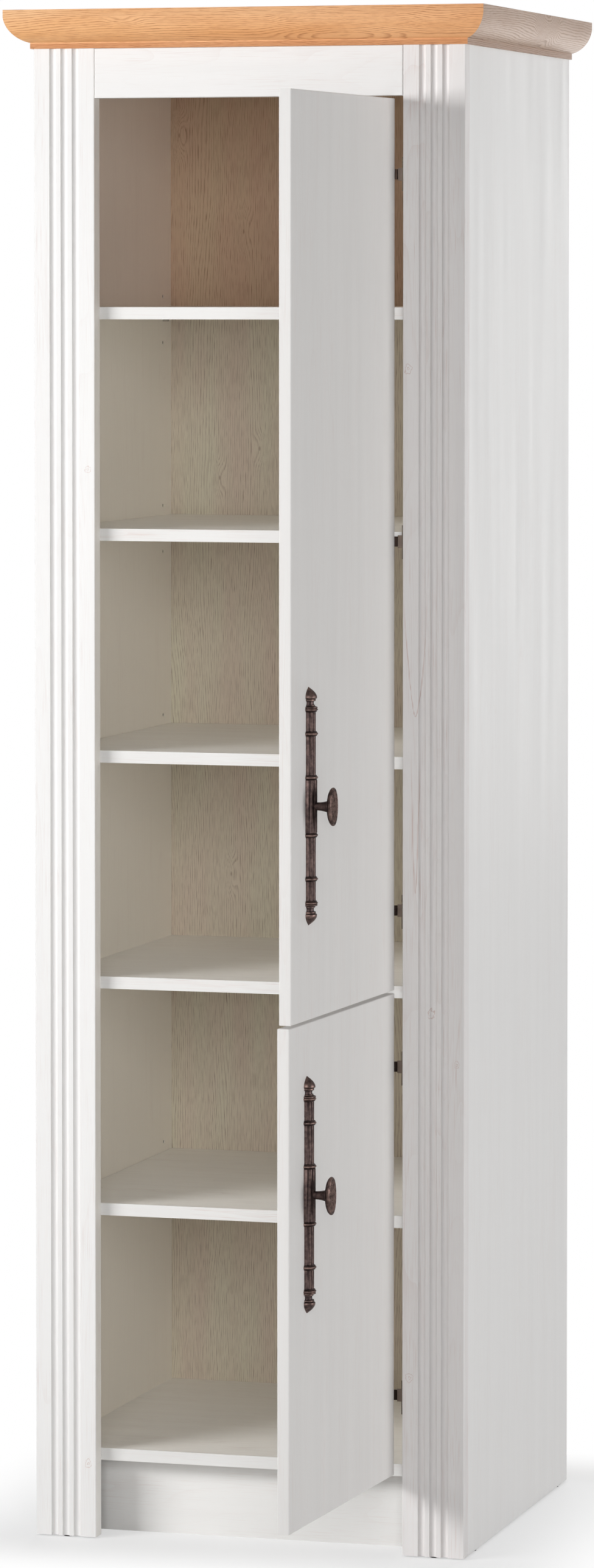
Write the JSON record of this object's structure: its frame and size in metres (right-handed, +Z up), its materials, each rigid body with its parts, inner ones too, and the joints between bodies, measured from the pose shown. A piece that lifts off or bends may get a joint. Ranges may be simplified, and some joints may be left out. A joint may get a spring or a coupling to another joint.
{
  "type": "tall cabinet",
  "caption": "Tall narrow cupboard with a moulded cornice, fluted pilasters, open shelves behind an upper and a lower side-hung door with turned bronze handles.",
  "frame": {"origin": "on the floor, in the middle of the front plinth board's underside", "axes": "+Z up, -Y towards the front of the cabinet, +X towards the side the doors hang on"},
  "size_m": [0.648, 0.9694, 2.01],
  "materials": {
    "pale_pine": "whitewashed pine decor foil, matt, faint grey-pink streaks",
    "warm_oak": "warm oak decor foil, satin, fine darker pores",
    "oak_back": "grey-brown oak decor on thin hardboard, strong upright grain",
    "raw_softwood": "planed softwood, unfinished",
    "beech": "ribbed beech dowel, unfinished",
    "steel": "zinc-plated steel",
    "dark_bronze": "antique bronze, dark in the hollows, coppery on the worn edges",
    "black_plastic": "black moulded plastic",
    "clear_plastic": "milky soft plastic",
    "white_plastic": "white extruded plastic"
  },
  "bodies": {
    "cabinet": {"side_panel_left": "pale_pine", "side_panel_right": "pale_pine", "top_panel": "pale_pine", "bottom_board": "pale_pine", "fixed_shelf": "pale_pine", "adjustable_shelf_1": "pale_pine", "adjustable_shelf_2": "pale_pine", "adjustable_shelf_3": "pale_pine", "adjustable_shelf_4": "pale_pine", "plinth_front": "pale_pine", "plinth_rear": "pale_pine", "pilaster_left": "pale_pine", "pilaster_right": "pale_pine", "frieze_rail": "pale_pine", "cornice_front": "warm_oak", "cornice_left": "warm_oak", "cornice_right": "warm_oak", "back_panel_upper": "oak_back", "back_panel_lower": "oak_back", "cornice_rear_rail": "raw_softwood", "cornice_blocks": "raw_softwood", "board_dowels": "beech", "pilaster_dowels": "beech", "rail_dowels": "beech", "shelf_pins": "steel", "cam_locks": "steel", "cam_bolts": "steel", "back_nails": "steel", "cornice_screws": "steel", "bracket_screws": "steel", "wall_brackets": "steel", "upper_hinge_arms": "steel", "lower_hinge_arms": "steel", "hinge_plate_screws": "steel", "hinge_arm_covers": "black_plastic", "floor_glides": "black_plastic", "back_joint_strip": "white_plastic"},
    "upper_door": {"door_upper": "pale_pine", "upper_handle_plate": "dark_bronze", "upper_knob": "dark_bronze", "upper_handle_screws": "steel", "upper_hinge_cups": "steel", "upper_cup_screws": "steel", "upper_door_bumpers": "clear_plastic"},
    "lower_door": {"door_lower": "pale_pine", "lower_handle_plate": "dark_bronze", "lower_knob": "dark_bronze", "lower_handle_screws": "steel", "lower_hinge_cups": "steel", "lower_cup_screws": "steel", "lower_door_bumpers": "clear_plastic"}
  },
  "joints": [
    {"name": "upper_door_hinge", "type": "hinge", "parent": "cabinet", "child": "upper_door", "pos_m": [0.2009, -0.0757, 1.315], "axis": [0, 0, 1], "range_deg": [-87.4, 7.6]},
    {"name": "lower_door_hinge", "type": "hinge", "parent": "cabinet", "child": "lower_door", "pos_m": [0.2009, -0.0757, 0.42], "axis": [0, 0, 1], "range_deg": [-87.05, 7.95]}
  ]
}
